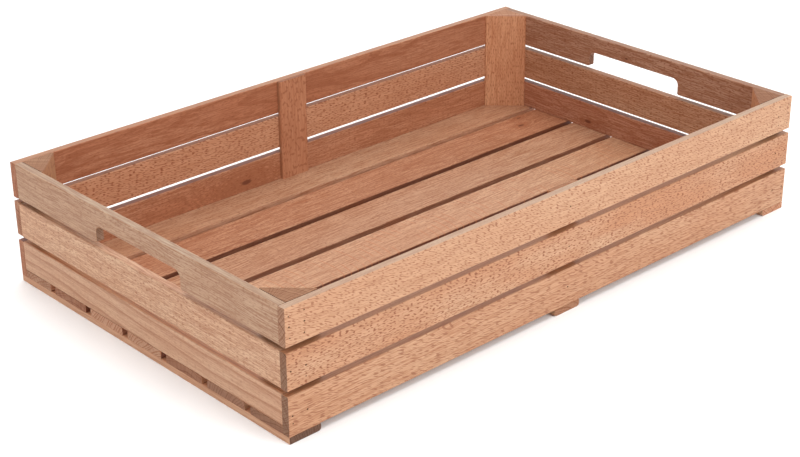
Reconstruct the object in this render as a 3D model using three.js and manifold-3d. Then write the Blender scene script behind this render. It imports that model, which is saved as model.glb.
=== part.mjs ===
// A low slatted crate for storing apples, made of planed beech and nailed together.
//
// Three cross skids carry a floor of long slats and the two long sides. Each side and each end
// is three boards with air gaps between them. The ends stand on the floor slats, between the
// sides, and a triangular post in each corner and a flat batten at the middle of each long side
// tie the boards together. The top board of each end has a hand grip cut out of its lower edge.
//
// Millimetres. X runs along the long sides, Y across the crate, and Z up. The origin is on the
// surface that the crate stands on, under its middle.
import * as THREE from "three";
import { mergeVertices } from "three/addons/utils/BufferGeometryUtils.js";
import Module from "manifold-3d";

// Overall size, outside.
const length = 600;
const width = 365;

// Side and end boards. The rows are named from the floor up.
const boardThickness = 7.5;
const bottomBoardHeight = 34;
const middleBoardHeight = 31.5;
const topBoardHeight = 32;
const boardGap = 4.5;
const backMiddleLift = 0.8; // the back's middle board is nailed on above the middle of its gaps
const boardArris = 0.8;

// Hand grips, cut into the lower edge of the top end boards.
const gripLength = 113;
const gripDepth = 15.5;
const gripCornerRadius = 6;
const gripLipRadius = 2;

// Floor. The inner slats are of one width, and the slat against each side fills what is left.
const innerSlats = 5;
const slatWidth = 46;
const slatGap = 7.3;
const slatThickness = 7;
const slatArris = 0.8;

// Skids under the floor. Their lower edges are rounded, but for the outer one of each end skid.
const skidWidth = 30;
const skidThickness = 6;
const skidRound = 2.5;
const skidArris = 0.5;

// Corner posts: a square sawn in two from corner to corner, with its thin edges blunted.
const postLeg = 30;
const postBlunt = 1.5;

// Middle battens on the long sides.
const battenWidth = 32.5;
const battenThickness = 4;
const battenRound = 1.8;

// Brads through the side boards: at each end one into the end board and one into the corner
// post, and one into the batten.
const cornerBradLength = 19;
const battenBradLength = 9.5;
const postBradInset = 10.5; // from the inner face of the end board
const bradRadius = 0.5;
const bradHeadRadius = 0.75;
const bradHeadHeight = 0.6;
const bradPointLength = 2;
const bradSink = 0.4; // of the head, under the face of the board
const bradClearance = 0.1; // round the brad, in the hole that it makes
const bradSides = 8;

// Levels and widths that follow from the sizes.
const floorLevel = skidThickness + slatThickness;
const middleBoardFoot = skidThickness + bottomBoardHeight + boardGap;
const topBoardFoot = middleBoardFoot + middleBoardHeight + boardGap;
const rimLevel = topBoardFoot + topBoardHeight;
const insideWidth = width - 2 * boardThickness;
const postHeight = rimLevel - floorLevel;
const rows = [
  { row: "bottom", foot: skidThickness, height: bottomBoardHeight },
  { row: "middle", foot: middleBoardFoot, height: middleBoardHeight },
  { row: "top", foot: topBoardFoot, height: topBoardHeight },
];

// The way out of the crate through each side and end, along Y and X.
const sides = [
  { side: "front", out: -1, middleLift: 0 },
  { side: "back", out: 1, middleLift: backMiddleLift },
];
const ends = [
  { end: "left", out: -1 },
  { end: "right", out: 1 },
];

const beech = (color, roughness) => new THREE.MeshStandardMaterial({ color, roughness, metalness: 0 });
const materials = {
  sideBoard: beech("#d9a680", 0.6),
  endBoard: beech("#cfa789", 0.6),
  floorSlat: beech("#cc9875", 0.6),
  skid: beech("#c2906d", 0.68),
  post: beech("#c88e6b", 0.68),
  batten: beech("#bf8563", 0.62),
  brad: new THREE.MeshStandardMaterial({ color: "#5a534d", roughness: 0.45, metalness: 1 }),
};

const crate = new THREE.Group();
crate.name = "apple_crate";

// Puts a geometry into the crate as a named mesh.
function place(name, geometry, material, x, y, z) {
  const mesh = new THREE.Mesh(geometry, material);
  mesh.name = name;
  mesh.position.set(x, y, z);
  mesh.updateMatrixWorld();
  crate.add(mesh);
  return mesh;
}

// A rectangle round the origin, with a radius at each corner from lower left, counterclockwise.
function roundedRectangle(wide, high, [lowerLeft, lowerRight, upperRight, upperLeft]) {
  const [x, y] = [wide / 2, high / 2];
  const shape = new THREE.Shape();
  shape.moveTo(-x + lowerLeft, -y);
  shape.lineTo(x - lowerRight, -y);
  shape.absarc(x - lowerRight, -y + lowerRight, lowerRight, -Math.PI / 2, 0);
  shape.lineTo(x, y - upperRight);
  shape.absarc(x - upperRight, y - upperRight, upperRight, 0, Math.PI / 2);
  shape.lineTo(-x + upperLeft, y);
  shape.absarc(-x + upperLeft, y - upperLeft, upperLeft, Math.PI / 2, Math.PI);
  shape.lineTo(-x, -y + lowerLeft);
  shape.absarc(-x + lowerLeft, -y + lowerLeft, lowerLeft, Math.PI, Math.PI * 1.5);
  return shape;
}

const planedSection = (wide, high, arris) => roundedRectangle(wide, high, [arris, arris, arris, arris]);

// Extrudes a section to a stick that is centred on the origin and runs along X, Y or Z. The
// section's own x then points along +Y, +X or +X, and its y along +Z, +Z or +Y.
const quarterTurns = {
  X: new THREE.Matrix4().makeBasis(...["Y", "Z", "X"].map(unit)),
  Y: new THREE.Matrix4().makeBasis(unit("X"), unit("Z"), unit("Y").negate()),
  Z: new THREE.Matrix4(),
};
function unit(axis) {
  return new THREE.Vector3(Number(axis === "X"), Number(axis === "Y"), Number(axis === "Z"));
}
function stick(shape, long, axis, options = { bevelEnabled: false, curveSegments: 2 }) {
  const geometry = new THREE.ExtrudeGeometry(shape, { depth: long, ...options });
  return geometry.translate(0, 0, -long / 2).applyMatrix4(quarterTurns[axis]);
}

// Long sides: boards of the full length that stand on the skids.
const sideBoards = {};
for (const { side, out, middleLift } of sides) {
  const y = (out * (width - boardThickness)) / 2;
  for (const { row, foot, height } of rows) {
    const board = stick(planedSection(boardThickness, height, boardArris), length, "X");
    const name = `${side}_${row}_board`;
    const z = foot + height / 2 + (row === "middle" ? middleLift : 0);
    sideBoards[name] = place(name, board, materials.sideBoard, 0, y, z);
  }
}

// Outline of a top end board round its middle, with the grip in its lower edge. The upper
// corners of the grip are arcs, and so are the two lips where it meets the edge.
function gripOutline(long, high) {
  const [x, y] = [long / 2, high / 2];
  const [grip, roof] = [gripLength / 2, gripDepth - y];
  const [corner, lip] = [gripCornerRadius, gripLipRadius];
  const shape = new THREE.Shape();
  shape.moveTo(-x, -y);
  shape.lineTo(-grip - lip, -y);
  shape.absarc(-grip - lip, -y + lip, lip, -Math.PI / 2, 0);
  shape.lineTo(-grip, roof - corner);
  shape.absarc(-grip + corner, roof - corner, corner, Math.PI, Math.PI / 2, true);
  shape.lineTo(grip - corner, roof);
  shape.absarc(grip - corner, roof - corner, corner, Math.PI / 2, 0, true);
  shape.lineTo(grip, -y + lip);
  shape.absarc(grip + lip, -y + lip, lip, Math.PI, Math.PI * 1.5);
  shape.lineTo(x, -y);
  shape.lineTo(x, y);
  shape.lineTo(-x, y);
  return shape;
}

// A top end board: the outline through the board's thickness, with its arrises eased.
function gripBoard(long, high) {
  const flat = boardThickness - 2 * boardArris;
  const easing = { bevelThickness: boardArris, bevelSize: boardArris, bevelOffset: -boardArris };
  return stick(gripOutline(long, high), flat, "X", { ...easing, bevelSegments: 3, curveSegments: 5 });
}

// Ends: boards that fit between the sides. The bottom ones stand on the floor slats.
const endBoards = {};
for (const { end, out } of ends) {
  const x = (out * (length - boardThickness)) / 2;
  for (const { row, foot, height } of rows) {
    const standsAt = Math.max(foot, floorLevel);
    const high = foot + height - standsAt;
    const board =
      row === "top"
        ? gripBoard(insideWidth, high)
        : stick(planedSection(boardThickness, high, boardArris), insideWidth, "Y");
    const name = `${end}_end_${row}_board`;
    endBoards[name] = place(name, board, materials.endBoard, x, 0, standsAt + high / 2);
  }
}

// Floor: slats of the full length, between the sides. Slat 1 lies against the front side.
const slatCount = innerSlats + 2;
const innerFloor = innerSlats * slatWidth + (innerSlats + 1) * slatGap;
const edgeSlatWidth = (insideWidth - innerFloor) / 2;
const slatLevel = skidThickness + slatThickness / 2;
for (let slat = 1; slat <= slatCount; slat++) {
  const fromMiddle = slat - (slatCount + 1) / 2;
  const atEdge = slat === 1 || slat === slatCount;
  const wide = atEdge ? edgeSlatWidth : slatWidth;
  const y = atEdge
    ? (Math.sign(fromMiddle) * (insideWidth - edgeSlatWidth)) / 2
    : fromMiddle * (slatWidth + slatGap);
  const board = stick(planedSection(wide, slatThickness, slatArris), length, "X");
  place(`floor_slat_${slat}`, board, materials.floorSlat, 0, y, slatLevel);
}

// Skids: the end ones are flush with the ends of the crate, and their outer lower edge is square.
const endSkid = (length - skidWidth) / 2;
for (const { name, x, lowerLeft, lowerRight } of [
  { name: "left_skid", x: -endSkid, lowerLeft: skidArris, lowerRight: skidRound },
  { name: "middle_skid", x: 0, lowerLeft: skidRound, lowerRight: skidRound },
  { name: "right_skid", x: endSkid, lowerLeft: skidRound, lowerRight: skidArris },
]) {
  const radii = [lowerLeft, lowerRight, skidArris, skidArris];
  const skid = stick(roundedRectangle(skidWidth, skidThickness, radii), width, "Y");
  place(name, skid, materials.skid, x, 0, skidThickness / 2);
}

// Corner posts, on the floor slats. The square corner of a post fits the corner of the crate,
// inX and inY point from there into the crate, and the sawn face looks at the middle.
function postSection(inX, inY) {
  const corners = [
    [0, 0],
    [postLeg, 0],
    [postLeg, postBlunt],
    [postBlunt, postLeg],
    [0, postLeg],
  ];
  return new THREE.Shape(corners.map(([x, y]) => new THREE.Vector2(inX * x, inY * y)));
}

const posts = {};
for (const { side, out: outY } of sides) {
  for (const { end, out: outX } of ends) {
    const x = outX * (length / 2 - boardThickness);
    const y = (outY * insideWidth) / 2;
    const post = stick(postSection(-outX, -outY), postHeight, "Z");
    const name = `${side}_${end}_corner_post`;
    posts[name] = place(name, post, materials.post, x, y, floorLevel + postHeight / 2);
  }
}

// Middle battens, flat on the inside of the long sides, with their inner edges rounded.
const battens = {};
for (const { side, out } of sides) {
  const [lower, upper] = out < 0 ? [0, battenRound] : [battenRound, 0];
  const section = roundedRectangle(battenWidth, battenThickness, [lower, lower, upper, upper]);
  const y = (out * (insideWidth - battenThickness)) / 2;
  const name = `${side}_middle_batten`;
  const batten = stick(section, postHeight, "Z");
  battens[name] = place(name, batten, materials.batten, 0, y, floorLevel + postHeight / 2);
}

// A brad, turned about Y, with the middle of its head at the origin and its point towards +Y.
function bradGeometry(long) {
  return latheY([
    [0, 0],
    [bradHeadRadius, 0],
    [bradHeadRadius, bradHeadHeight],
    [bradRadius, bradHeadHeight],
    [bradRadius, long - bradPointLength],
    [0, long],
  ]);
}

// The hole that it makes, wider all round by the clearance and open past the face of the board.
function bradHoleGeometry(long) {
  const opening = -2 * bradSink;
  const [head, shank] = [bradHeadRadius + bradClearance, bradRadius + bradClearance];
  return latheY([
    [0, opening],
    [head, opening],
    [head, bradHeadHeight + bradClearance],
    [shank, bradHeadHeight + bradClearance],
    [shank, long - bradPointLength + bradClearance],
    [0, long + bradClearance],
  ]);
}

function latheY(profile) {
  const points = profile.map(([radius, y]) => new THREE.Vector2(radius, y));
  return new THREE.LatheGeometry(points, bradSides);
}

const wasm = await Module();
wasm.setup();

function solidOf(geometry) {
  const bare = geometry.clone();
  bare.deleteAttribute("normal");
  bare.deleteAttribute("uv");
  const merged = mergeVertices(bare);
  const vertProperties = merged.getAttribute("position").array;
  const triVerts = new Uint32Array(merged.index.array);
  return new wasm.Manifold(new wasm.Mesh({ numProp: 3, vertProperties, triVerts }));
}

function geometryOf(solid) {
  const { vertProperties, triVerts } = solid.getMesh();
  return new THREE.BufferGeometry()
    .setAttribute("position", new THREE.BufferAttribute(vertProperties, 3))
    .setIndex(new THREE.BufferAttribute(triVerts, 1));
}

// Drills a hole, given in the crate's frame, into a board.
function drill(board, hole) {
  const local = hole.clone().applyMatrix4(board.matrixWorld.clone().invert());
  board.geometry = geometryOf(solidOf(board.geometry).subtract(solidOf(local)));
}

// Drives a brad of a length through the outer face of a side board, at x, into another piece.
function driveBrad(name, long, x, out, board, into) {
  const y = out * (width / 2 - bradSink);
  const brad = place(name, bradGeometry(long), materials.brad, x, y, board.position.z);
  brad.rotation.z = out < 0 ? 0 : Math.PI;
  brad.updateMatrixWorld();
  const hole = bradHoleGeometry(long).applyMatrix4(brad.matrixWorld);
  drill(board, hole);
  drill(into, hole);
}

// Each side board is nailed at half its height.
for (const { side, out } of sides) {
  for (const { row } of rows) {
    const name = `${side}_${row}`;
    const board = sideBoards[`${name}_board`];
    for (const { end, out: outX } of ends) {
      const endBoard = endBoards[`${end}_end_${row}_board`];
      const post = posts[`${side}_${end}_corner_post`];
      const postX = post.position.x - outX * postBradInset;
      driveBrad(`${name}_${end}_end_brad`, cornerBradLength, endBoard.position.x, out, board, endBoard);
      driveBrad(`${name}_${end}_post_brad`, cornerBradLength, postX, out, board, post);
    }
    const batten = battens[`${side}_middle_batten`];
    driveBrad(`${name}_batten_brad`, battenBradLength, batten.position.x, out, board, batten);
  }
}

export default crate;
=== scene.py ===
"""A low slatted apple crate of planed, unfinished beech, nailed together with steel brads."""

from math import copysign, cos, radians, sin

import bpy
import numpy as np
from mathutils import Matrix, Vector


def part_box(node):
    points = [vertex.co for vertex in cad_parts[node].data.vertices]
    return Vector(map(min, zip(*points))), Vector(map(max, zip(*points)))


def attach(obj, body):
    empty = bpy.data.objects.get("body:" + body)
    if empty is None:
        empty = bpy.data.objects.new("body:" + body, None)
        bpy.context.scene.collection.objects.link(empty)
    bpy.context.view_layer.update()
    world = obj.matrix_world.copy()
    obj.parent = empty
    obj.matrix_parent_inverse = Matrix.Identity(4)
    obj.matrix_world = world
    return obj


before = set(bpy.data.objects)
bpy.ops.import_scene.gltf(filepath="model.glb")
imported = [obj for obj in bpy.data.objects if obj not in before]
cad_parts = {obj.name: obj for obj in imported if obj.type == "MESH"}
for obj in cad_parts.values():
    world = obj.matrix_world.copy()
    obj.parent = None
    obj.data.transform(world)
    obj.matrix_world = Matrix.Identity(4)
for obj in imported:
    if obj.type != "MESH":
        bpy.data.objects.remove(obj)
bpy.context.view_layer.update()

# ---------------------------------------------------------------------------------------------
# Camera. It stands off the near left corner of the crate, at the height of someone who looks
# down into it across a table, and its long lens keeps the far end nearly as large as the near.
# ---------------------------------------------------------------------------------------------
LENS = 77.6  # mm
SENSOR_WIDTH = 36  # mm
CAMERA_AZIMUTH = radians(42.52)  # from +Y towards +X
CAMERA_DROP = radians(25.44)  # below the level
CAMERA_ROLL = radians(-0.55)
CAMERA_DISTANCE = 1.4613
CAMERA_AIM = Vector((-0.0715, -0.0548, 0.0563))
CAMERA_REACH = 100.0  # past the far edge of the floor

forward = Vector((
    sin(CAMERA_AZIMUTH) * cos(CAMERA_DROP),
    cos(CAMERA_AZIMUTH) * cos(CAMERA_DROP),
    -sin(CAMERA_DROP),
))
camera = bpy.data.objects.new("camera", bpy.data.cameras.new("camera"))
camera.data.lens = LENS
camera.data.sensor_width = SENSOR_WIDTH
camera.data.clip_end = CAMERA_REACH
camera.location = CAMERA_AIM - CAMERA_DISTANCE * forward
level = forward.to_track_quat("-Z", "Y").to_matrix()
camera.rotation_euler = (level @ Matrix.Rotation(CAMERA_ROLL, 3, "Z")).to_euler()
bpy.context.scene.collection.objects.link(camera)
bpy.context.scene.camera = camera
bpy.context.scene.view_settings.view_transform = "Standard"


# ---------------------------------------------------------------------------------------------
# Studio. A white paper floor under a white tent: the tent is bright overhead and along the
# horizon, and brightest in the backdrop behind the crate, whose sheen makes the upward faces
# pale. Two soft boxes light the front and, more weakly, the left end, from above its gaps.
# ---------------------------------------------------------------------------------------------
FLOOR_REACH = 30.0  # from the crate, each way
TENT_OVERHEAD = 3.0  # radiance within 30 degrees of straight up
TENT_SIDES = 0.12  # radiance between that and the bright horizon
TENT_HORIZON = 1.05
BACKDROP = 2.3  # radiance behind the crate, up to 40 degrees above the floor
SOFTBOX_SIZE = 1.2
SOFTBOX_AIM = Vector((0, 0, 0.05))


def linear(code):
    """An sRGB hex colour as the linear RGBA that shaders and lights take."""
    srgb = np.array([int(code[i : i + 2], 16) for i in (1, 3, 5)]) / 255
    lit = np.where(srgb <= 0.04045, srgb / 12.92, ((srgb + 0.055) / 1.055) ** 2.4)
    return (*lit.tolist(), 1.0)


def add(tree, kind, sockets, **settings):
    """Adds a node to a tree, gives it its settings, and fills the sockets that are named.

    A socket takes a value, another node's socket, or another node for the first output in use.
    """
    made = tree.nodes.new(kind)
    for name, value in settings.items():
        setattr(made, name, value)
    for name, value in sockets.items():
        if isinstance(value, bpy.types.Node):
            value = next(out for out in value.outputs if out.enabled)
        if isinstance(value, bpy.types.NodeSocket):
            tree.links.new(value, made.inputs[name])
        else:
            made.inputs[name].default_value = value
    return made


tent = bpy.data.worlds.new("white_tent")
tent.use_nodes = True
bpy.context.scene.world = tent
tree = tent.node_tree

# The horizon fades out from 12 to 30 degrees up, and the overhead light begins at 56 to 64. The
# backdrop fades out at 35 to 45 degrees up, and 50 to 75 degrees to either side of the middle.
direction = add(tree, "ShaderNodeTexCoord", {})
height = add(tree, "ShaderNodeSeparateXYZ", {0: direction.outputs["Generated"]})
horizon = add(tree, "ShaderNodeMapRange", {
    "Value": height.outputs["Z"], "From Min": sin(radians(30)), "From Max": sin(radians(12)),
    "To Min": TENT_SIDES, "To Max": TENT_HORIZON}, interpolation_type="SMOOTHSTEP")
overhead = add(tree, "ShaderNodeMapRange", {
    "Value": height.outputs["Z"], "From Min": sin(radians(56)), "From Max": sin(radians(64)),
    "To Min": 0.0, "To Max": TENT_OVERHEAD - TENT_SIDES}, interpolation_type="SMOOTHSTEP")
facing = add(tree, "ShaderNodeVectorMath", {
    0: direction.outputs["Generated"], 1: (sin(CAMERA_AZIMUTH), cos(CAMERA_AZIMUTH), 0)},
    operation="DOT_PRODUCT")
sideways = add(tree, "ShaderNodeMapRange", {
    "Value": facing, "From Min": 0.25, "From Max": 0.65}, interpolation_type="SMOOTHSTEP")
upwards = add(tree, "ShaderNodeMapRange", {
    "Value": height.outputs["Z"], "From Min": sin(radians(45)), "From Max": sin(radians(35)),
    "To Max": BACKDROP}, interpolation_type="SMOOTHSTEP")
backdrop = add(tree, "ShaderNodeMath", {0: sideways, 1: upwards}, operation="MULTIPLY")
white = add(tree, "ShaderNodeMath", {0: horizon, 1: backdrop}, operation="MAXIMUM")
radiance = add(tree, "ShaderNodeMath", {0: white, 1: overhead}, operation="ADD")
tree.links.new(radiance.outputs[0], tree.nodes["Background"].inputs["Strength"])
tree.nodes["Background"].inputs["Color"].default_value = linear("#ffffff")

floor_mesh = bpy.data.meshes.new("paper_floor")
corners = [(x * FLOOR_REACH, y * FLOOR_REACH, 0) for x, y in ((-1, -1), (1, -1), (1, 1), (-1, 1))]
floor_mesh.from_pydata(corners, [], [(0, 1, 2, 3)])
floor = bpy.data.objects.new("paper_floor", floor_mesh)
bpy.context.scene.collection.objects.link(floor)
paper = bpy.data.materials.new("white_backdrop_paper")
paper.use_nodes = True
paper.node_tree.nodes["Principled BSDF"].inputs["Base Color"].default_value = linear("#fbfbfb")
paper.node_tree.nodes["Principled BSDF"].inputs["Roughness"].default_value = 0.9
floor_mesh.materials.append(paper)

for name, place, watts in (
    ("front_softbox", (0.3, -2.1, 1.35), 30.0),
    ("left_softbox", (-2.2, -0.4, 1.3), 9.0),
):
    light = bpy.data.lights.new(name, "AREA")
    light.shape = "SQUARE"
    light.size = SOFTBOX_SIZE
    light.energy = watts
    lamp = bpy.data.objects.new(name, light)
    lamp.location = place
    beam = SOFTBOX_AIM - Vector(place)
    lamp.rotation_euler = beam.to_track_quat("-Z", "Y").to_euler()
    bpy.context.scene.collection.objects.link(lamp)


# ---------------------------------------------------------------------------------------------
# Skids: three flat beech sticks across the underside, which carry the floor and the long sides.
# Planed, with the lower edges rounded over, and left as they came from the saw at their ends.
# ---------------------------------------------------------------------------------------------
MILLIMETRE = (0.001, 0.001, 0.001)  # each way. The sizes of all the patterns in beech are in mm
SWAY_LENGTH = 170  # mm, of the slow bends in the grain along the trunk
SWAY_WIDTH = 45  # mm, of the same bends across it
KNOT_STRETCH = 2.5  # the grain round a knot is this many times longer than it is wide
KNOT_DEPTH = 1e6  # mm. A knot runs right through the stick, straight out from the pith
FIBRE_LENGTH = 26  # mm
FIBRE_WIDTH = 1.3  # mm. A real fibre is 0.02 mm thick, too fine to show, so it is drawn coarser
SAW_RADIUS = 70  # mm
SAW_MARK_SPACING = 8  # mm


def beech(node, colour, cut=0, pith=60, ring=2.8, rings=0.3, figure=0.3, grain=1.0, flecks=0.5,
          fleck=(3.6, 0.65), lean=0, sway=7, dive=0.6, slope=0.0, end=0.65, edge_tone_and_shade=(0.91, 1.0, 1.03),
          knots=(), sawn=0.0, seed=0):
    """Planed beech for one stick, as a solid pattern: the trunk as it grew, and the way it was cut.

    Points are in mm from the middle of the stick, turned so that they read along the grain, away
    from the pith and round it: cut is the angle in degrees between the face and the rings, dive
    and slope how far the grain runs out of the face and across it, and slow noise sways it.
    Rings: radius from the pith over the ring's width counts the years, and a year darkens as the
    cube of its age. Rays: the peaks of a noise that is long with the grain and thin round the
    pith, and leans where the grain spirals, are short dark flecks on a face along the rings.
    Fibres: noise drawn out along the grain.
    Knots: within a knot's reach the rings swell round it and the wood darkens, up to its heart.
    Saw marks: arcs of the saw's radius, which repeat along the stick and come and go.

    The numbers rings, figure, grain, flecks and sawn say how strongly each pattern shows. The end
    tint, set by end, darkens the sawn ends, as end grain is darker, and its slight blue-grey is a
    painted sheen. The edge tint, set per board, tints the narrow edges: partly their own tone and
    partly painted shade where an edge lies in a gap, and on a few boards painted light. Sizes are
    in mm: pith is how far off it lay, ring a year's growth, fleck a ray's length and thickness,
    and sway how far the grain strays. A knot is its place in the crate, the radius of its heart,
    and its reach.
    """
    low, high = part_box(node)
    centre = (low + high) / 2
    shortest, middling, longest = sorted(range(3), key=lambda axis: high[axis] - low[axis])
    along = Vector([float(axis == longest) for axis in range(3)])
    thin = Vector([float(axis == shortest) for axis in range(3)])
    wide = Vector([float(axis == middling) for axis in range(3)])
    square = high[middling] - low[middling] < 1.1 * (high[shortest] - low[shortest])  # or nearly
    outward = cos(radians(cut)) * thin + sin(radians(cut)) * wide
    basis = Matrix((along, outward, along.cross(outward))).transposed()
    basis = basis @ Matrix.Rotation(radians(dive), 3, "Z") @ Matrix.Rotation(radians(slope), 3, "Y")

    material = bpy.data.materials.new(f"planed_beech_{node}")
    material.use_nodes = True
    tree = material.node_tree
    shader = tree.nodes["Principled BSDF"]
    place = add(tree, "ShaderNodeTexCoord", {})
    board = add(tree, "ShaderNodeMapping", {
        "Vector": place.outputs["Object"], "Location": centre, "Rotation": basis.to_euler(),
        "Scale": MILLIMETRE}, vector_type="TEXTURE")

    # The grain sways over the sizes given above and over halves of those, down to eighths.
    slow = add(tree, "ShaderNodeMapping", {
        "Vector": board, "Location": (7.3 * seed, 3.1 * seed, 1.7 * seed),
        "Scale": (1 / SWAY_LENGTH, 1 / SWAY_WIDTH, 1 / SWAY_WIDTH)})
    drift = add(tree, "ShaderNodeTexNoise", {"Vector": slow, "Scale": 1.0, "Detail": 3.0})
    swayed = add(tree, "ShaderNodeVectorMath", {
        0: drift.outputs["Color"], 1: (0, 2 * sway, 2 * sway), 2: board}, operation="MULTIPLY_ADD")
    trunk = add(tree, "ShaderNodeVectorMath", {
        0: swayed, 1: (0, pith - sway, -sway)}, operation="ADD")

    # A knot's distance is in units of its reach. The rings swell from 1.2 of it inwards, the stain
    # begins at 0.9, and the heart is as wide as the core.
    hearts = 0.0
    stains = 0.0
    for *point, core, reach in knots:
        local = basis.transposed() @ (Vector(point) - 1000 * centre)
        off = add(tree, "ShaderNodeMapping", {
            "Vector": board, "Location": local, "Scale": (KNOT_STRETCH * reach, KNOT_DEPTH, reach)},
            vector_type="TEXTURE")
        distance = add(tree, "ShaderNodeVectorMath", {0: off}, operation="LENGTH")
        swell = add(tree, "ShaderNodeMapRange", {
            "Value": distance, "From Min": 1.2, "From Max": 0.1, "To Max": 0.6 * reach},
            interpolation_type="SMOOTHSTEP")
        bulge = add(tree, "ShaderNodeCombineXYZ", {"Y": swell})
        trunk = add(tree, "ShaderNodeVectorMath", {0: trunk, 1: bulge}, operation="ADD")
        stain = add(tree, "ShaderNodeMapRange", {
            "Value": distance, "From Min": 0.9, "From Max": 0.2, "To Max": 0.7},
            interpolation_type="SMOOTHSTEP")
        stains = add(tree, "ShaderNodeMath", {0: stains, 1: stain}, operation="MAXIMUM")
        heart = add(tree, "ShaderNodeMapRange", {
            "Value": distance, "From Min": 1.1 * core / reach, "From Max": 0.5 * core / reach},
            interpolation_type="SMOOTHSTEP")
        hearts = add(tree, "ShaderNodeMath", {0: hearts, 1: heart}, operation="MAXIMUM")

    axes = add(tree, "ShaderNodeSeparateXYZ", {0: trunk})
    section = add(tree, "ShaderNodeVectorMath", {0: trunk, 1: (0, 1, 1)}, operation="MULTIPLY")
    radius = add(tree, "ShaderNodeVectorMath", {0: section}, operation="LENGTH")
    angle = add(tree, "ShaderNodeMath", {
        0: axes.outputs["Z"], 1: axes.outputs["Y"]}, operation="ARCTAN2")
    arc = add(tree, "ShaderNodeMath", {0: angle, 1: pith}, operation="MULTIPLY")
    grown = add(tree, "ShaderNodeCombineXYZ", {"X": axes.outputs["X"], "Y": arc, "Z": radius})

    # Good and bad years differ, so the count of years runs unevenly with the radius.
    evenly = add(tree, "ShaderNodeMath", {0: radius, 1: ring}, operation="DIVIDE")
    weather = add(tree, "ShaderNodeTexNoise", {
        "W": evenly, "Scale": 0.35, "Detail": 1.0}, noise_dimensions="1D")
    years = add(tree, "ShaderNodeMath", {
        0: weather, 1: 2.5, 2: evenly}, operation="MULTIPLY_ADD")
    age = add(tree, "ShaderNodeMath", {0: years}, operation="FRACT")
    late = add(tree, "ShaderNodeMath", {0: age, 1: 3.0}, operation="POWER")

    # Rays are a few mm tall along the grain and half a mm thick, and run out from the pith.
    cells = add(tree, "ShaderNodeMapping", {
        "Vector": grown, "Location": (11.7 * seed, 5.3 * seed, 0),
        "Rotation": (0, 0, radians(lean)), "Scale": (*fleck, 1)}, vector_type="TEXTURE")
    rays = add(tree, "ShaderNodeTexNoise", {
        "Vector": cells, "Scale": 1.0, "Detail": 0.0}, noise_dimensions="2D")
    ray = add(tree, "ShaderNodeMapRange", {
        "Value": rays, "From Min": 0.58, "From Max": 0.74}, interpolation_type="SMOOTHSTEP")

    # Fibres are streaks of the sizes given above and of halves of those, down to eighths.
    strands = add(tree, "ShaderNodeMapping", {
        "Vector": grown, "Scale": (1 / FIBRE_LENGTH, 1 / FIBRE_WIDTH, 1 / FIBRE_WIDTH)})
    fibres = add(tree, "ShaderNodeTexNoise", {
        "Vector": strands, "Scale": 1.0, "Detail": 3.0, "Roughness": 0.6})
    streak = add(tree, "ShaderNodeMapRange", {
        "Value": fibres, "From Min": 0.3, "From Max": 0.7, "To Min": -0.25 * grain,
        "To Max": 0.7 * grain})

    # Faces: the ends drink in light, and the narrow edges get a tint, or on a corner post its two
    # flat faces turned outwards. The edge tint is partly the edges' own tone and partly painted
    # shade where an edge lies in a gap, and on a few boards painted light; on the posts it is all
    # painted shade.
    # The fourth power of the normal tells flat faces from rounded and diagonal ones.
    squared = add(tree, "ShaderNodeVectorMath", {
        0: place.outputs["Normal"], 1: place.outputs["Normal"]}, operation="MULTIPLY")
    squarely = add(tree, "ShaderNodeVectorMath", {0: squared, 1: squared}, operation="MULTIPLY")
    endways = add(tree, "ShaderNodeVectorMath", {0: squarely, 1: along}, operation="DOT_PRODUCT")
    on_end = add(tree, "ShaderNodeMapRange", {"Value": endways, "From Min": 0.3, "From Max": 0.7})
    outside = Vector((copysign(1, centre.x), copysign(1, centre.y), 0))
    edgeways = add(tree, "ShaderNodeVectorMath", {
        0: place.outputs["Normal"] if square else squarely,
        1: outside if square else wide}, operation="DOT_PRODUCT")
    on_edge = add(tree, "ShaderNodeMapRange", {"Value": edgeways, "From Min": 0.8, "From Max": 0.97})
    shown = add(tree, "ShaderNodeMapRange", {
        "Value": on_edge, "To Min": flecks, "To Max": 0.25 * flecks})
    share = add(tree, "ShaderNodeMath", {0: ray, 1: shown}, operation="MULTIPLY")

    # Colour: the ground is pale with amber clouds, and the late wood and the fibres deepen it.
    pale = np.array(linear(colour)[:3])
    amber = pale * (0.86, 0.64, 0.52)
    deep = pale * (0.66, 0.47, 0.36)
    fleck_brown = pale * (0.44, 0.22, 0.13)
    knot_brown = pale * (0.30, 0.16, 0.11)
    saw_brown = pale * (0.80, 0.50, 0.36)
    cloud = add(tree, "ShaderNodeSeparateXYZ", {0: drift.outputs["Color"]})
    clouded = add(tree, "ShaderNodeMapRange", {
        "Value": cloud.outputs["X"], "From Min": 0.35, "From Max": 0.7, "To Max": 1.8 * figure})
    ground = add(tree, "ShaderNodeMix", {
        "Factor": clouded, "A": (*pale, 1), "B": (*amber, 1)}, data_type="RGBA")
    weight = add(tree, "ShaderNodeMapRange", {"Value": on_end, "To Min": rings, "To Max": 1.4})
    fading = add(tree, "ShaderNodeMapRange", {"Value": on_end, "To Min": 1.0, "To Max": 0.3})
    strand = add(tree, "ShaderNodeMath", {0: streak, 1: fading}, operation="MULTIPLY")
    ringed = add(tree, "ShaderNodeMath", {
        0: late, 1: weight, 2: stains}, operation="MULTIPLY_ADD")
    depth = add(tree, "ShaderNodeMath", {0: ringed, 1: strand}, operation="ADD", use_clamp=True)
    wood = add(tree, "ShaderNodeMix", {
        "Factor": depth, "A": ground, "B": (*deep, 1)}, data_type="RGBA")
    flecked = add(tree, "ShaderNodeMix", {
        "Factor": share, "A": wood, "B": (*fleck_brown, 1)}, data_type="RGBA")
    knotted = add(tree, "ShaderNodeMix", {
        "Factor": hearts, "A": flecked, "B": (*knot_brown, 1)}, data_type="RGBA")
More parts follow.
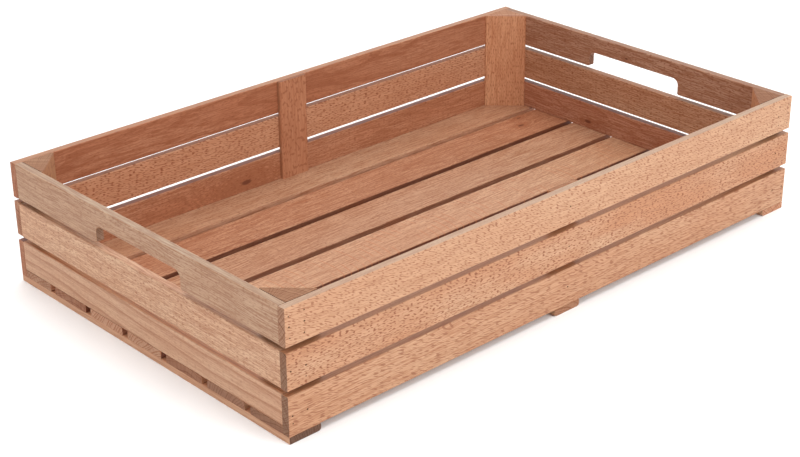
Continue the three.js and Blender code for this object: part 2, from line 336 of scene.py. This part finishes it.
    # Painted sheen: the end tint darkens the end grain, which is darker in its own right, and its
    # slight blue-grey stands in for the pale reflection that the rough ends no longer give.
    end_tone_and_sheen = add(tree, "ShaderNodeMix", {
        "Factor": on_end, "A": (1, 1, 1, 1), "B": (end, end, 1.08 * end, 1)},
        data_type="RGBA")
    # Painted shade and light: the edge tint darkens the narrow edges where they lie in the gaps, and
    # lightens a few, on top of their own tone.
    edge_tone_and_shade_tint = add(tree, "ShaderNodeMix", {
        "Factor": on_edge, "A": (1, 1, 1, 1), "B": (*edge_tone_and_shade, 1)}, data_type="RGBA")
    tint = add(tree, "ShaderNodeVectorMath", {0: end_tone_and_sheen, 1: edge_tone_and_shade_tint}, operation="MULTIPLY")
    tinted = add(tree, "ShaderNodeVectorMath", {0: knotted, 1: tint}, operation="MULTIPLY")

    if sawn:
        # The rim of the saw left arcs across the face, in bunches some 20 mm long.
        face = Matrix((along, wide, along.cross(wide))).transposed()
        across = add(tree, "ShaderNodeMapping", {
            "Vector": place.outputs["Object"], "Location": centre, "Rotation": face.to_euler(),
            "Scale": MILLIMETRE}, vector_type="TEXTURE")
        flat = add(tree, "ShaderNodeSeparateXYZ", {0: across})
        sagitta = add(tree, "ShaderNodeMath", {
            0: flat.outputs["Y"], 1: flat.outputs["Y"]}, operation="MULTIPLY")
        feed = add(tree, "ShaderNodeMath", {
            0: sagitta, 1: 1 / (2 * SAW_RADIUS), 2: flat.outputs["X"]}, operation="MULTIPLY_ADD")
        tooth = add(tree, "ShaderNodeMath", {0: feed, 1: SAW_MARK_SPACING / 2}, operation="PINGPONG")
        groove = add(tree, "ShaderNodeMapRange", {"Value": tooth, "From Min": 0.8, "From Max": 0.2})
        bunch = add(tree, "ShaderNodeTexNoise", {
            "Vector": across, "Scale": 0.045, "Detail": 1.0})
        deeper = add(tree, "ShaderNodeMapRange", {
            "Value": bunch, "From Min": 0.46, "From Max": 0.56, "To Max": sawn})
        mark = add(tree, "ShaderNodeMath", {0: groove, 1: deeper}, operation="MULTIPLY")
        tinted = add(tree, "ShaderNodeMix", {
            "Factor": mark, "A": tinted, "B": (*saw_brown, 1)}, data_type="RGBA")
    colouring = next(out for out in tinted.outputs if out.enabled)
    tree.links.new(colouring, shader.inputs["Base Color"])

    # The plane leaves dense late wood a little smoother than open fibres, and the ends are rough.
    gloss = add(tree, "ShaderNodeMapRange", {"Value": depth, "To Min": 0.66, "To Max": 0.54})
    roughness = add(tree, "ShaderNodeMapRange", {
        "Value": on_end, "To Min": gloss, "To Max": 0.92})
    tree.links.new(roughness.outputs[0], shader.inputs["Roughness"])
    relief = add(tree, "ShaderNodeMath", {0: fibres, 1: share}, operation="SUBTRACT")
    bump = add(tree, "ShaderNodeBump", {"Height": relief, "Strength": 0.35, "Distance": 0.0002})
    tree.links.new(bump.outputs[0], shader.inputs["Normal"])
    shader.inputs["IOR"].default_value = 1.5
    shader.inputs["Specular IOR Level"].default_value = 0.5

    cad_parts[node].data.materials.clear()
    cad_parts[node].data.materials.append(material)


beech("left_skid", "#d09d7b", cut=70, ring=2.2, rings=0.35, flecks=0.2, end=0.22, seed=1)
beech("middle_skid", "#c0906c", cut=20, rings=0.3, flecks=0.4, end=0.67, seed=2)
beech("right_skid", "#ca9b78", cut=50, rings=0.3, flecks=0.4, end=0.85, seed=3)


# ---------------------------------------------------------------------------------------------
# Floor slats: seven thin boards laid along the crate on the skids, a finger's width apart.
# Each comes from a different stick, so each has its own colour, and their sawn ends show.
# ---------------------------------------------------------------------------------------------
beech("floor_slat_1", "#c39472", cut=15, flecks=0.5, end=0.50, seed=11)
beech("floor_slat_2", "#c79a7a", cut=60, flecks=0.3, end=0.57, seed=12)
beech("floor_slat_3", "#c08c69", cut=5, flecks=0.4, end=0.62, seed=13)
# Slats 4 to 6 have dark edge tints, painted shade on the edges that show in the gaps, and slat 7 a
# light one, painted light.
beech("floor_slat_4", "#c89e7d", cut=35, rings=0.12, flecks=0.5, figure=0.25, grain=1.9, end=0.85,
      edge_tone_and_shade=(0.45, 0.31, 0.33), sawn=0.9, seed=14)
beech("floor_slat_5", "#bf9576", cut=50, rings=0.25, flecks=0.5, grain=2.1, end=1.0,
      edge_tone_and_shade=(0.70, 0.55, 0.52), seed=15)
beech("floor_slat_6", "#b78463", cut=5, rings=0.35, flecks=0.6, grain=2.1, end=0.76,
      edge_tone_and_shade=(0.46, 0.32, 0.26), seed=16,
      knots=[(249, 108, 13, 2.0, 8), (262, 123.5, 13, 1.4, 7)])
beech("floor_slat_7", "#bc9374", cut=30, rings=0.25, flecks=0.5, grain=1.6, end=0.85,
      edge_tone_and_shade=(1.25, 1.15, 1.17), seed=17)


# ---------------------------------------------------------------------------------------------
# End boards: three short boards at each end, butted between the long sides. The top one has a
# hand grip routed into its lower edge, with its corners rounded and its arrises eased.
# ---------------------------------------------------------------------------------------------
# The left end's bottom board has a light edge tint, painted light on its edge in the gap, and the
# right end's boards have dark ones, painted shade.
beech("left_end_bottom_board", "#c7a183", cut=25, ring=4.2, rings=1.1, slope=1.2, sway=4,
      flecks=0.3, edge_tone_and_shade=(1.3, 1.2, 1.1), seed=21)
beech("left_end_middle_board", "#ceaa8b", cut=12, rings=0.15, grain=1.9, flecks=0.7,
      fleck=(3.8, 0.6), edge_tone_and_shade=(1.04, 0.96, 0.94), seed=22)
beech("left_end_top_board", "#b8997d", cut=50, ring=2.2, rings=0.4, grain=2.0, flecks=0.4,
      figure=0.3, edge_tone_and_shade=(0.83, 0.91, 0.95), seed=23)
beech("right_end_bottom_board", "#c38e71", cut=0, pith=35, rings=0.45, grain=1.9, flecks=0.5,
      figure=0.5, edge_tone_and_shade=(0.45, 0.24, 0.15), seed=24, knots=[(292.5, 55, 20.5, 2.0, 8)])
beech("right_end_middle_board", "#c69c7c", cut=10, rings=0.15, grain=1.8, flecks=0.8,
      edge_tone_and_shade=(0.69, 0.58, 0.45), seed=25)
beech("right_end_top_board", "#b78d72", cut=40, rings=0.2, grain=2.1, flecks=0.6,
      edge_tone_and_shade=(0.64, 0.59, 0.50), seed=26, knots=[(292.5, 8.4, 100.7, 0.8, 4)])


# ---------------------------------------------------------------------------------------------
# Side boards: three long boards a side, nailed to the end boards, the posts and the battens.
# Mostly plain-sawn, so their faces are covered with the short dark flecks of the rays.
# ---------------------------------------------------------------------------------------------
beech("front_bottom_board", "#c29978", cut=55, pith=120, ring=2.2, rings=0.4, grain=1.4,
      flecks=0.7, fleck=(6.5, 0.6), lean=-8, end=0.49, edge_tone_and_shade=(0.84, 0.74, 0.67), seed=31)
beech("front_middle_board", "#c49e7e", cut=35, pith=120, ring=2.4, rings=0.25, grain=1.2,
      flecks=1.0, fleck=(3.4, 0.75), lean=-6, figure=0.9, end=0.49, edge_tone_and_shade=(0.92, 0.87, 0.84),
      sway=9, slope=1.0, seed=32)
beech("front_top_board", "#c39a79", cut=45, pith=120, ring=2.4, rings=0.15, flecks=0.75,
      fleck=(3.8, 0.6), lean=-16, figure=0.25, end=0.68, edge_tone_and_shade=(0.78, 0.90, 1.03), slope=1.5,
      seed=33)
# The back bottom and middle boards have dark edge tints: painted shade on their edges in the gaps.
beech("back_bottom_board", "#bf8c6c", cut=4, rings=0.4, grain=1.9, flecks=0.6, figure=0.5,
      end=0.82, edge_tone_and_shade=(0.53, 0.31, 0.18), seed=34, knots=[(-58, 175, 21.5, 2.8, 26)])
beech("back_middle_board", "#c79573", cut=10, rings=0.1, flecks=0.9, fleck=(3.8, 0.75),
      lean=-10, end=0.69, edge_tone_and_shade=(0.75, 0.57, 0.40), seed=35)
beech("back_top_board", "#b78161", cut=0, pith=26, ring=4.0, rings=0.8, dive=1.6, grain=1.8,
      flecks=0.4, figure=0.5, sway=10, end=0.81, edge_tone_and_shade=(0.90, 1.05, 1.0), seed=36)


# ---------------------------------------------------------------------------------------------
# Corner posts: a square stick sawn in two from corner to corner, standing on the floor slats in
# each corner. The boards of the side and of the end are nailed to its two planed faces.
# ---------------------------------------------------------------------------------------------
# Painted shade: the corner posts' two planed faces show only deep inside the gaps, and are tinted
# nearly black as if in deep shade.
PAINTED_GAP_SHADE = (0.15, 0.12, 0.10)  # the planed faces, which show only deep inside the gaps

beech("front_left_corner_post", "#c29068", cut=20, end=0.56, edge_tone_and_shade=PAINTED_GAP_SHADE, seed=41)
beech("front_right_corner_post", "#c1885f", cut=60, end=0.50, edge_tone_and_shade=PAINTED_GAP_SHADE, seed=42)
beech("back_left_corner_post", "#ad815e", cut=35, end=0.76, edge_tone_and_shade=PAINTED_GAP_SHADE, seed=43)
beech("back_right_corner_post", "#d19a73", cut=45, rings=0.2, flecks=0.6, end=0.64,
      edge_tone_and_shade=PAINTED_GAP_SHADE, seed=44)


# ---------------------------------------------------------------------------------------------
# Battens: a flat stick upright in the middle of each long side, which ties its three boards
# together. Planed, with its two inner edges rounded over.
# ---------------------------------------------------------------------------------------------
beech("front_middle_batten", "#c39069", cut=30, end=0.62, seed=51)
beech("back_middle_batten", "#bc8563", cut=70, ring=2.2, rings=0.3, flecks=0.5, end=0.6, seed=52)


# ---------------------------------------------------------------------------------------------
# Brads: headed steel wire pins, driven through the boards until their heads lie in the face or
# just under it. Drawn steel wire, dull and browned by a film of oil and old rust.
# ---------------------------------------------------------------------------------------------
FILM_PATCHES = 900.0  # to the metre

steel = bpy.data.materials.new("drawn_steel_wire")
steel.use_nodes = True
tree = steel.node_tree
shader = tree.nodes["Principled BSDF"]
place = add(tree, "ShaderNodeTexCoord", {})
film = add(tree, "ShaderNodeTexNoise", {
    "Vector": place.outputs["Object"], "Scale": FILM_PATCHES, "Detail": 2.0})
patches = add(tree, "ShaderNodeMapRange", {"Value": film, "From Min": 0.4, "From Max": 0.65})
surface = add(tree, "ShaderNodeMix", {
    "Factor": patches, "A": linear("#4d3629"), "B": linear("#21140e")}, data_type="RGBA")
dullness = add(tree, "ShaderNodeMapRange", {"Value": patches, "To Min": 0.4, "To Max": 0.65})
tree.links.new(surface.outputs[2], shader.inputs["Base Color"])
tree.links.new(dullness.outputs[0], shader.inputs["Roughness"])
shader.inputs["Metallic"].default_value = 1.0

for name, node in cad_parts.items():
    if name.endswith("_brad"):
        node.data.materials.clear()
        node.data.materials.append(steel)

HEAD_RADIUS = 0.0006
HEAD_CROWN = 0.00002  # above the wood
HEAD_FOOT = 0.0006  # under it
HEAD_SIDES = 10
WANDER = 0.0007  # each way, of the hand that holds the nail gun
SLAT_BRADS = ((0.3, 0.3), (0.7, 0.7))  # along the slat over a skid, and across it, as shares


def brad_heads(name, places, outward):
    """A flat crowned head at each place, on a face that looks outward, as one piece.

    A head is its profile, of radius and height, turned about the outward direction: at each
    angle a point is the place, plus the radius towards that angle, plus the height outwards.
    """
    outward = np.array(outward, float)
    one = np.roll(outward, 1)
    other = np.cross(outward, one)
    angles = np.arange(HEAD_SIDES) * 2 * np.pi / HEAD_SIDES
    radii = HEAD_RADIUS * np.array([0.6, 0.95, 1.0, 1.0])
    heights = np.array([HEAD_CROWN, 0.6 * HEAD_CROWN, -HEAD_CROWN, -HEAD_FOOT])
    spokes = np.cos(angles)[:, None] * one + np.sin(angles)[:, None] * other
    rings = radii[:, None, None] * spokes + heights[:, None, None] * outward
    poles = np.outer([HEAD_CROWN, -HEAD_FOOT], outward)
    head = np.concatenate((rings.reshape(-1, 3), poles))
    points = (np.array(places)[:, None] + head).reshape(-1, 3)

    around = np.arange(HEAD_SIDES)
    onward = (around + 1) % HEAD_SIDES
    levels = HEAD_SIDES * np.arange(len(radii) - 1)[:, None]
    quads = np.stack((
        levels + around, levels + HEAD_SIDES + around,
        levels + HEAD_SIDES + onward, levels + onward), axis=-1).reshape(-1, 4)
    last = HEAD_SIDES * (len(radii) - 1)
    top = np.stack((np.full(HEAD_SIDES, len(head) - 2), around, onward), axis=-1)
    foot = np.stack((np.full(HEAD_SIDES, len(head) - 1), last + onward, last + around), axis=-1)
    starts = len(head) * np.arange(len(places))[:, None, None]
    faces = (starts + quads).reshape(-1, 4).tolist()
    faces += (starts + np.concatenate((top, foot))).reshape(-1, 3).tolist()

    mesh = bpy.data.meshes.new(name)
    mesh.from_pydata(points, [], faces)
    mesh.materials.append(steel)
    piece = bpy.data.objects.new(name, mesh)
    bpy.context.scene.collection.objects.link(piece)
    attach(piece, "root")


# The top boards have two more brads in each column, and the others one more in a column or two.
hand = np.random.default_rng(7)
for side, out in (("front", -1), ("back", 1)):
    places = []
    for row, columns, steps in (
        ("bottom", ("left_end", "right_end"), (-0.007,)),
        ("middle", ("left_post", "right_post"), (-0.0095,)),
        ("top", ("left_end", "left_post", "right_post", "right_end"), (-0.009, 0.009)),
    ):
        low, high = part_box(f"{side}_{row}_board")
        face = low.y if out < 0 else high.y
        for column in columns:
            near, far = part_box(f"{side}_{row}_{column}_brad")
            middle = (near + far) / 2
            for step in steps:
                astray = hand.uniform(-WANDER, WANDER, 2)
                places.append((middle.x + astray[0], face, middle.z + step + astray[1]))
    brad_heads(f"{side}_side_brads", places, (0, out, 0))

# The floor is nailed from below, two brads through each skid into each slat.
places = []
for skid in ("left_skid", "middle_skid", "right_skid"):
    low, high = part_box(skid)
    for slat in range(1, 8):
        near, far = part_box(f"floor_slat_{slat}")
        for along, across in SLAT_BRADS:
            astray = hand.uniform(-WANDER, WANDER, 2)
            x = low.x + along * (high.x - low.x) + astray[0]
            y = near.y + across * (far.y - near.y) + astray[1]
            places.append((x, y, low.z))
brad_heads("floor_brads", places, (0, 0, -1))
